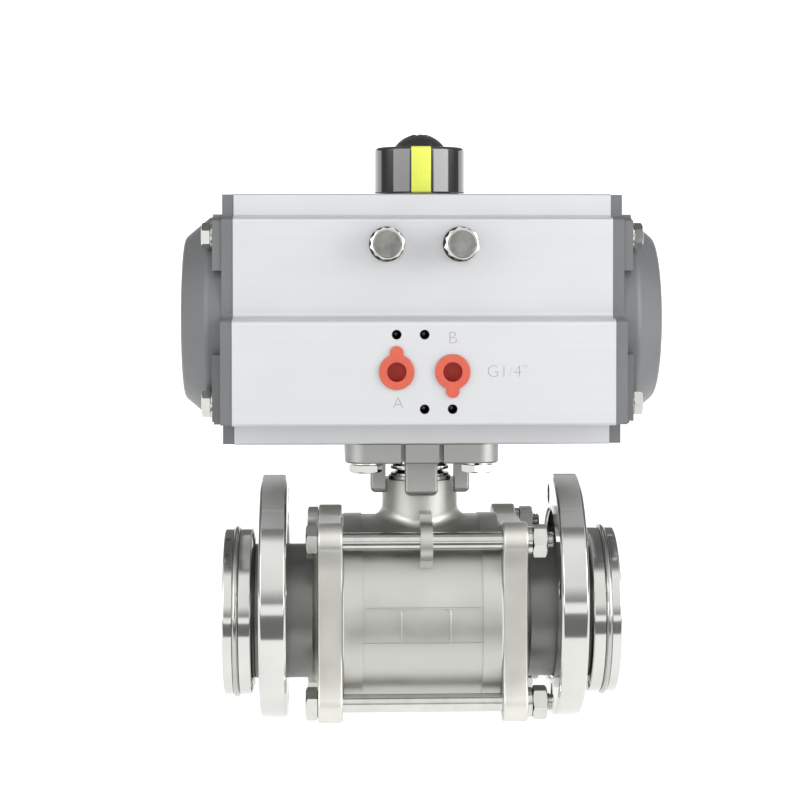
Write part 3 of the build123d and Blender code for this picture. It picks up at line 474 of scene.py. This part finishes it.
def moulded(name, colour, roughness, soft=0.0, grain_mm=0.015):
    """Moulded plastic or rubber with a fine mould texture."""
    finish = Finish(name, colour, 0.0, roughness)
    if soft:
        finish.set("Subsurface Weight", soft)
        finish.set("Subsurface Radius", (0.004, 0.0012, 0.0008))
        finish.set("Subsurface Scale", 1.0)
    texture = finish.noise(1800, 3)
    finish.tint(finish.noise(60, 3), 0.92, 1.05)
    finish.rough(texture, roughness - 0.05, roughness + 0.07)
    finish.bump(texture, grain_mm, 0.4)
    return finish.material


def plug_plastic(name):
    """Soft orange plastic, with painted shade inside the bore that turns it a darker deep red."""
    finish = Finish(name, srgb(186, 82, 62), 0.0, 0.38)
    finish.set("Subsurface Weight", 0.25)
    finish.set("Subsurface Radius", (0.004, 0.001, 0.0006))
    split = finish.add("ShaderNodeSeparateXYZ")
    finish.link(finish.place, split.inputs[0])
    # Painted shade: deeper in the bore the colour goes to a darker red.
    depth = finish.spread(split.outputs["Y"], 0.0, 1.0, *PLUG_BORE_SHADE_M)
    mix = finish.add("ShaderNodeMix", data_type="RGBA")
    shade = finish.tint(finish.noise(220, 3), 0.93, 1.05)
    finish.link(shade, mix.inputs["A"])
    mix.inputs["B"].default_value = (*srgb(196, 52, 22), 1)
    finish.link(depth, mix.inputs["Factor"])
    finish.link(mix.outputs["Result"], finish.shader.inputs["Base Color"])
    finish.bump(finish.noise(900, 2), 0.02, 0.4)
    return finish.material


def grained_metal(name, colour, low, high, scale, height_mm):
    """Plain metal inside the mechanism: a little grain and uneven shine."""
    finish = Finish(name, srgb(*colour), 1.0, low)
    texture = finish.noise(scale, 4)
    finish.tint(finish.noise(80, 3), 0.88, 1.05)
    finish.rough(texture, low, high)
    finish.bump(texture, height_mm, 0.4)
    return finish.material


def make_finishes():
    """The finishes by the name of the material slot they stand for, and a few special ones."""
    return {
        "cast_stainless": cast_steel("cast_stainless_blasted"),
        "turned_stainless": turned_steel("turned_stainless_rings"),
        "loose_flange": turned_steel("turned_stainless_flange", RING_CENTRE),
        "spring_wire": bright_steel("spring_wire_bright", (186, 186, 182), 0.14, 0.24),
        "stainless_fasteners": bright_steel("stainless_bright"),
        "polished_stainless": turned_steel("polished_stainless_rings", (0.0, 0.0), "Z"),
        "white_ptfe": moulded("ptfe_white", srgb(232, 232, 226), 0.42, 0.2),
        "gland_steel": grained_metal("gland_steel_plain", (176, 176, 170), 0.25, 0.38, 500, 0.01),
        "anodised_aluminium": anodised("anodised_satin"),
        "grey_paint": powder_coat("powder_coat_grey"),
        "black_rubber": moulded("rubber_black", (0.014, 0.014, 0.014), 0.6),
        "acetal": moulded("acetal_natural", srgb(214, 210, 196), 0.4),
        "nickel_plated_steel": grained_metal("nickel_plate", (206, 200, 188), 0.18, 0.3, 900, 0.004),
        "cast_aluminium": grained_metal("cast_aluminium_grain", (186, 188, 190), 0.4, 0.55, 1400, 0.05),
        "black_plastic": gloss_black("black_plastic_gloss"),
        "yellow_plastic": moulded("yellow_plastic_film", srgb(206, 214, 86), 0.3, 0.0, 0.006),
        "orange_plastic": plug_plastic("orange_plastic_soft"),
        # Painted shade: near-black material for the threads deep in the M5 holes.
        "painted_shade_thread": moulded("thread_shadow", (0.004, 0.004, 0.004), 0.5),
        "engraved": grained_metal("engraved_grey", (150, 150, 152), 0.4, 0.5, 3000, 0.01),
    }


FINISH = make_finishes()


# ---- mesh helpers ----
def new_piece(name, bm, finish, body, replaced=(), crease=32):
    """Turns a bmesh in millimetres into a piece that rides on a body."""
    bmesh.ops.remove_doubles(bm, verts=bm.verts, dist=0.002)
    bmesh.ops.recalc_face_normals(bm, faces=bm.faces)
    bm.transform(Matrix.Scale(MM, 4))
    mesh = bpy.data.meshes.new(name)
    bm.to_mesh(mesh)
    bm.free()
    for polygon in mesh.polygons:
        polygon.use_smooth = True
    mesh.set_sharp_from_angle(angle=math.radians(crease))
    mesh.materials.append(finish)
    piece = bpy.data.objects.new(name, mesh)
    bpy.context.scene.collection.objects.link(piece)
    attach(piece, body)
    if replaced:
        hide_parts(*replaced)
    return piece


def grid(bm, rows, around=True, place=None):
    """Joins rows of points into quads; around closes each row into a loop."""
    loops = []
    for row in rows:
        points = [place @ Vector(p) for p in row] if place else row
        loops.append([bm.verts.new(p) for p in points])
    count = len(rows[0])
    last = count if around else count - 1
    for lower, upper in zip(loops, loops[1:]):
        for i in range(last):
            j = (i + 1) % count
            bm.faces.new((lower[i], lower[j], upper[j], upper[i]))
    return loops


def ring_points(radius, height, count=72):
    """A level loop; radius is a number or a function of the angle."""
    points = []
    for i in range(count):
        angle = 2 * math.pi * i / count
        r = radius(angle) if callable(radius) else radius
        h = height(angle) if callable(height) else height
        points.append((r * math.cos(angle), r * math.sin(angle), h))
    return points


def frame_at(place, along, spin=0.0):
    """Matrix that puts local Z along the given direction at a place."""
    turn = Vector(along).to_track_quat("Z", "Y").to_matrix().to_4x4()
    return Matrix.Translation(place) @ turn @ Matrix.Rotation(math.radians(spin), 4, "Z")


def hex_radius(flats):
    """Distance from the axis to the side of a hexagon, as a function of the angle."""
    def radius(angle):
        within = (angle % (math.pi / 3)) - math.pi / 6
        return flats / 2 / math.cos(within)
    return radius


def hex_side(flats, face, turned, direction):
    """Loops of one chamfered end of a hexagon, from the side edge in to the flat face."""
    radius = hex_radius(flats)
    rim = flats / 2 * turned
    slope = math.tan(math.radians(30))

    def edge(angle):
        return face - direction * max(radius(angle) - rim, 0.02) * slope
    return [ring_points(radius, edge), ring_points(rim, face)]


def hex_head(bm, place, flats, height, dish=0.0, turned=0.95, dish_share=0.36):
    """Bolt head with a conical chamfer, a washer face below and a slight dish on top."""
    radius = hex_radius(flats)
    rows = [ring_points(0.3, 0.0), ring_points(flats * 0.46, 0.0), ring_points(flats * 0.475, 0.25),
            ring_points(radius, 0.27)]
    rows += hex_side(flats, height, turned, 1)
    if dish:
        rim = flats * dish_share
        rows += [ring_points(rim, height), ring_points(rim - 0.35, height - dish)]
    rows.append(ring_points(0.3, height - dish))
    grid(bm, rows, place=place)
    cap(bm, rows[-1], place)


def hex_nut(bm, place, flats, height, bore):
    """Nut chamfered on both faces, with a countersunk bore."""
    low = hex_side(flats, 0.0, 0.95, -1)
    high = hex_side(flats, height, 0.95, 1)
    rows = [ring_points(bore + 0.5, 0.0)] + low[::-1] + high
    rows += [ring_points(bore + 0.5, height), ring_points(bore, height - 0.5), ring_points(bore, 0.5)]
    rows.append(rows[0])
    grid(bm, rows, place=place)


def cap(bm, row, place):
    """Closes a loop of points with one face."""
    points = [place @ Vector(p) for p in row]
    bm.faces.new([bm.verts.new(p) for p in points])


def threaded_rod(bm, place, radius, start, end, pitch):
    """Rod with a helical 60 degree thread and a chamfered tip; start and end are along local Z."""
    depth = 0.6 * pitch
    tip = 0.8
    count = 48
    steps = max(int((end - start) / pitch * 10), 2)

    def point(height, angle):
        phase = (height / pitch - angle / (2 * math.pi)) % 1.0
        cut = depth * (1 - abs(2 * phase - 1)) if 0.08 < phase < 0.92 else 0.0
        left = end - height
        return min(radius - cut, radius - tip + left) if left < tip else radius - cut
    rows = []
    for k in range(steps + 1):
        height = start + (end - start) * k / steps
        rows.append(ring_points(lambda a, h=height: point(h, a), height, count))
    rows.append(ring_points(radius * 0.3, end, count))
    grid(bm, rows, place=place)
    cap(bm, rows[-1], place)


def plain_rod(bm, place, radius, start, end):
    """Smooth round rod between two places along local Z."""
    grid(bm, [ring_points(0.3, start), ring_points(radius, start), ring_points(radius, end),
              ring_points(0.3, end)], place=place)


def flat_washer(bm, place, outer, inner, thick):
    """Plain washer with a small bevel on its rim."""
    edge = min(0.25, thick / 3)
    profile = [(inner, 0), (outer - edge, 0), (outer, edge), (outer, thick - edge),
               (outer - edge, thick), (inner, thick), (inner, 0)]
    grid(bm, [ring_points(r, h) for r, h in profile], place=place)


def spring_washer(bm, place, outer, inner, thick, spin):
    """Split lock washer: a flat spring turn whose ends stand a little apart."""
    count = 60
    gap = math.radians(9)
    rise = thick * 0.12
    corners = ((inner, 0), (outer, 0), (outer, thick - rise), (inner, thick - rise))
    rows = []
    for i in range(count + 1):
        share = i / count
        angle = math.radians(spin) + gap + (2 * math.pi - 2 * gap) * share
        lift = rise * share
        rows.append([(r * math.cos(angle), r * math.sin(angle), h + lift) for r, h in corners])
    loops = grid(bm, rows, place=place)
    bm.faces.new(loops[0])
    bm.faces.new(loops[-1][::-1])


def corners(distance):
    """The four corners of a square, as pairs."""
    return [(a * distance, b * distance) for a in (-1, 1) for b in (-1, 1)]


# ---- valve fasteners ----
def make_tie_bolts():
    """Four long bolts through the square flanges, with spring washers and nuts on the right."""
    bm = bmesh.new()
    washers = bmesh.new()
    nuts = bmesh.new()
    spins = random.Random(4)
    for y, z in corners(TIE_POS):
        head = frame_at((TIE_HEAD_X, y, z), (-1, 0, 0), 30 + spins.uniform(-6, 6))
        hex_head(bm, head, M8_FLATS, M8_HEAD, 0.25)
        shank = frame_at((TIE_HEAD_X, y, z), (1, 0, 0))
        plain_rod(bm, shank, M8_ROD_R, 0.0, TIE_THREAD_START)
        threaded_rod(bm, shank, M8_ROD_R, TIE_THREAD_START, TIE_END_X - TIE_HEAD_X, M8_PITCH)
        turn = frame_at((TIE_WASHER_X, y, z), (1, 0, 0))
        spring_washer(washers, turn, *M8_WASHER, TIE_WASHER_THICK, spins.uniform(0, 360))
        nut = frame_at((TIE_NUT_X, y, z), (1, 0, 0), spins.uniform(4, 16))
        hex_nut(nuts, nut, M8_FLATS, M8_NUT, M8_NUT_BORE)
    steel = FINISH["stainless_fasteners"]
    new_piece("tie_bolt_set", bm, steel, "housing", ("tie_bolts",))
    new_piece("tie_spring_washers", washers, steel, "housing",
              ("tie_bolt_washers",))
    new_piece("tie_nut_set", nuts, steel, "housing", ("tie_bolt_nuts",))


def make_cover_bolts():
    """Heads and flat washers of the four bolts in each end cover."""
    bm = bmesh.new()
    washers = bmesh.new()
    spins = random.Random(9)
    for side in (-1, 1):
        for y, z in corners(COVER_BOLT_POS):
            along = (side, 0, 0)
            seat = frame_at((side * COVER_PAD_X, y, BORE_Z + z), along)
            flat_washer(washers, seat, *M6_WASHER)
            head_x = side * (COVER_PAD_X + M6_WASHER[2])
            head = frame_at((head_x, y, BORE_Z + z), along, spins.uniform(0, 60))
            hex_head(bm, head, M6_FLATS, M6_HEAD, 0.3)
    steel = FINISH["stainless_fasteners"]
    new_piece("cover_bolt_heads", bm, steel, "housing", ("cover_bolts",))
    new_piece("cover_bolt_flat_washers", washers, steel, "housing",
              ("cover_bolt_washers",))


def make_mounting_bolts():
    """Four hexagon bolts that hold the actuator on the valve's pad, seen from below."""
    bm = bmesh.new()
    washers = bmesh.new()
    spins = random.Random(17)
    for x, y in corners(MOUNT_POS):
        seat = frame_at((x, y, MOUNT_FACE_Z), (0, 0, -1))
        spring_washer(washers, seat, *M8_WASHER, MOUNT_WASHER_THICK, spins.uniform(0, 360))
        head_z = MOUNT_FACE_Z - MOUNT_WASHER_THICK
        head = frame_at((x, y, head_z), (0, 0, -1), spins.uniform(0, 60))
        hex_head(bm, head, M8_FLATS, MOUNT_HEAD, 0.3)
    steel = FINISH["stainless_fasteners"]
    new_piece("mounting_bolt_heads", bm, steel, "housing", ("mounting_bolts",))
    new_piece("mounting_spring_washers", washers, steel, "housing",
              ("mounting_bolt_washers",))


def make_stop_bolts():
    """Travel stops: a threaded bolt with its head to the front and a lock nut behind each."""
    bolts = bmesh.new()
    nuts = bmesh.new()
    for x, spin in ((-STOP_X, 12), (STOP_X, 41)):
        head = frame_at((x, STOP_HEAD_Y, STOP_Z), (0, -1, 0), spin)
        hex_head(bolts, head, STOP_FLATS, M8_HEAD, 0.35, 0.97, 0.46)
        shank = frame_at((x, STOP_BODY_Y + STOP_START, STOP_Z), (0, -1, 0))
        threaded_rod(bolts, shank, M8_ROD_R, 0.0, STOP_LENGTH, M8_PITCH)
        nut = frame_at((x, STOP_BODY_Y - STOP_SEAL, STOP_Z), (0, -1, 0), spin + 31)
        hex_nut(nuts, nut, M8_FLATS, M8_NUT, M8_NUT_BORE)
    steel = FINISH["stainless_fasteners"]
    new_piece("stop_bolt_set", bolts, steel, "housing", ("stop_bolts",))
    new_piece("stop_lock_nuts", nuts, steel, "housing", ("stop_bolt_nuts",))


# ---- cast label frame ----
def bead(bm, points, outward, radius):
    """Half-round raised line along points; outward gives the direction away from the skin."""
    rows = []
    for i, point in enumerate(points):
        ahead = Vector(points[min(i + 1, len(points) - 1)])
        behind = Vector(points[max(i - 1, 0)])
        along = (ahead - behind).normalized()
        out = outward(point)
        across = along.cross(out).normalized()
        row = []
        for k in range(BEAD_SIDES + 1):
            angle = math.pi * k / BEAD_SIDES
            offset = across * math.cos(angle) * radius + out * (math.sin(angle) * radius - BEAD_SINK)
            row.append(Vector(point) + offset)
        rows.append(row)
    grid(bm, rows, around=False)


def skin_point(x, z):
    """A point on the front of the round body, at a place along it and a height."""
    return (x, -math.sqrt(BODY_R * BODY_R - z * z), z)


def make_label_frame():
    """Cast lines on the front of the valve body: two long ones and two brackets."""
    bm = bmesh.new()

    def outward(point):
        return Vector((0, point[1], point[2])).normalized()
    for z in LABEL_Z:
        line = [skin_point(x, z) for x in range(-LABEL_HALF, LABEL_HALF + 1, LABEL_STEP)]
        bead(bm, line, outward, BEAD_R)
    for x, inward in BRACKETS:
        heights = [BRACKET_LOW + BRACKET_STEP * i for i in range(BRACKET_COUNT)]
        line = [skin_point(x, z) for z in heights]
        line = [skin_point(x + inward, heights[0])] + line + [skin_point(x + inward, heights[-1])]
        bead(bm, line, outward, BRACKET_BEAD_R)
    new_piece("cast_label_lines", bm, FINISH["cast_stainless"], "housing")


# ---- position indicator ----
def indicator_profile(outer, low, top, rim):
    """Radius and height from the lower edge, up the wall and round the rim to the top."""
    points = [(outer - 0.5, low), (outer, low + 0.5)]
    steps = 8
    for i in range(steps + 1):
        angle = math.pi / 2 * i / steps
        points.append((outer - rim + rim * math.cos(angle), top - rim + rim * math.sin(angle)))
    return points


def make_indicator():
    """Round cap with a rounded rim, and a yellow band down its front, back and across the top."""
    profile = indicator_profile(IND_R - IND_SINK, IND_LOW, IND_TOP - IND_SINK, IND_RIM)
    inside = IND_R - IND_WALL
    outline = [(IND_HUB_R, IND_INSIDE_Z), (inside, IND_INSIDE_Z), (inside, IND_LOW)]
    outline += profile + [(IND_HOLE_R, IND_TOP - IND_SINK)]
    rows = [ring_points(r, h, IND_SIDES) for r, h in outline]
    bm = bmesh.new()
    grid(bm, rows)
    new_piece("indicator_cap", bm, FINISH["black_plastic"], "drive_train",
              ("indicator_body",))
    stripe = bmesh.new()
    across = [STRIPE_HALF * (2 * i / 16 - 1) for i in range(17)]
    outside = indicator_profile(IND_R, IND_LOW, IND_TOP, IND_RIM)
    outside.append((STRIPE_END_R, IND_TOP))
    for side in (-1, 1):
        rows = [[(x, side * math.sqrt(r * r - x * x), h) for x in across] for r, h in outside]
        grid(stripe, rows, around=False)
    new_piece("indicator_band", stripe, FINISH["yellow_plastic"], "drive_train",
              ("indicator_stripe",))


def make_indicator_screw():
    """Domed black screw with a rounded cross recess."""
    low = IND_TOP + 0.05
    rise = SCREW_TOP - low
    sphere = (SCREW_R ** 2 + rise ** 2) / (2 * rise)
    bm = bmesh.new()
    count = 96
    slot_turn = math.radians(CROSS_TURN)
    rows = [ring_points(3.0, low, count), ring_points(SCREW_R - 0.35, low, count),
            ring_points(SCREW_R, low + 0.35, count)]
    rings = 40
    for k in range(1, rings + 1):
        radius = SCREW_R * (1 - k / (rings + 0.6))

        def height(angle, r=radius):
            x = r * math.cos(angle + slot_turn)
            y = r * math.sin(angle + slot_turn)
            dome = SCREW_TOP - sphere + math.sqrt(sphere ** 2 - r * r)
            nearest = min(abs(x), abs(y))
            reach = 1 / (1 + math.exp((r - CROSS_REACH) * 4))
            slot = 1 / (1 + math.exp((nearest - CROSS_HALF) * 7))
            return max(dome - CROSS_DEPTH * slot * reach, low)
        rows.append(ring_points(radius, height, count))
    grid(bm, rows)
    cap(bm, rows[-1], Matrix.Identity(4))
    new_piece("indicator_dome_screw", bm, FINISH["black_plastic"], "drive_train",
              ("indicator_screw",), 50)


# ---- port letters ----
def make_port_marks():
    """The usual letters beside the two air ports, and their thread size, as thin grey marks."""
    for name, text, x, z in PORT_MARKS:
        curve = bpy.data.curves.new(name, "FONT")
        curve.body = text
        curve.size = MARK_SIZE * MM
        curve.align_x = "CENTER"
        curve.align_y = "CENTER"
        curve.offset = MARK_THIN * MM
        curve.extrude = MARK_RAISE * MM
        curve.materials.append(FINISH["engraved"])
        mark = bpy.data.objects.new(name, curve)
        place = Matrix.Translation((x * MM, PORT_FACE_Y * MM, z * MM))
        mark.matrix_world = place @ Matrix.Rotation(math.pi / 2, 4, "X")
        bpy.context.scene.collection.objects.link(mark)
        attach(mark, "housing")


# ---- threaded holes on the air-port face ----
def make_hole_threads():
    """Tapped threads inside the four M5 holes of the air-port face, made near-black as painted shade.
    """
    bm = bmesh.new()
    count = 40
    steps = 100
    for x, z in M5_HOLES:
        place = frame_at((x, PORT_FACE_Y, z), (0, 1, 0))
        rows = []
        for k in range(steps + 1):
            depth = 0.05 + M5_THREAD_LENGTH * k / steps

            def radius(angle, d=depth):
                phase = (d / M5_PITCH - angle / (2 * math.pi)) % 1.0
                return 1.72 + 0.33 * abs(2 * phase - 1)
            rows.append(ring_points(radius, depth, count))
        rows.append(ring_points(0.2, 10.2, count))
        grid(bm, rows, place=place)
        cap(bm, rows[-1], place)
    # Painted shade: the threads and the hole bottoms are near-black.
    new_piece("air_valve_hole_threads", bm, FINISH["painted_shade_thread"], "housing")


# ---- CAD nodes that stay ----
EDGE_ROUNDING = {
    "valve_body": 0.7, "left_end_cap": 0.5, "right_end_cap": 0.5, "left_end_cover": 0.6,
    "right_end_cover": 0.6, "port_plug_a": 0.35, "port_plug_b": 0.35, "left_hub": 0.25,
    "right_hub": 0.25, "left_loose_flange": 0.25, "right_loose_flange": 0.25,
}


def soften_edges(node, width_mm, angle=38):
    """Rounds the sharp edges of a CAD node a little, so that they catch the light."""
    weld = node.modifiers.new("join_facets", "WELD")
    weld.merge_threshold = 0.000002
    flat = node.modifiers.new("merge_flat_facets", "DECIMATE")
    flat.decimate_type = "DISSOLVE"
    flat.angle_limit = math.radians(0.6)
    bevel = node.modifiers.new("edge_round", "BEVEL")
    bevel.width = width_mm * MM
    bevel.segments = 2
    bevel.limit_method = "ANGLE"
    bevel.angle_limit = math.radians(angle)
    normals = node.modifiers.new("even_normals", "WEIGHTED_NORMAL")
    normals.weight = 80


def finish_nodes():
    """Gives every CAD node that stays the finish of its material slot."""
    slots = {s["node"]: s["material_slot"] for s in frame["record"]["subparts"]}
    special = {"left_loose_flange": "loose_flange", "right_loose_flange": "loose_flange"}
    for name, node in NODES.items():
        node.data.materials.clear()
        node.data.materials.append(FINISH[special.get(name, slots[name])])
    for name, width in EDGE_ROUNDING.items():
        soften_edges(NODES[name], width)


place_camera()
place_stage()
place_surround()
place_lights()
place_world()
bpy.context.scene.view_settings.view_transform = "Standard"

finish_nodes()
make_tie_bolts()
make_cover_bolts()
make_mounting_bolts()
make_stop_bolts()
make_label_frame()
make_indicator()
make_indicator_screw()
make_port_marks()
make_hole_threads()
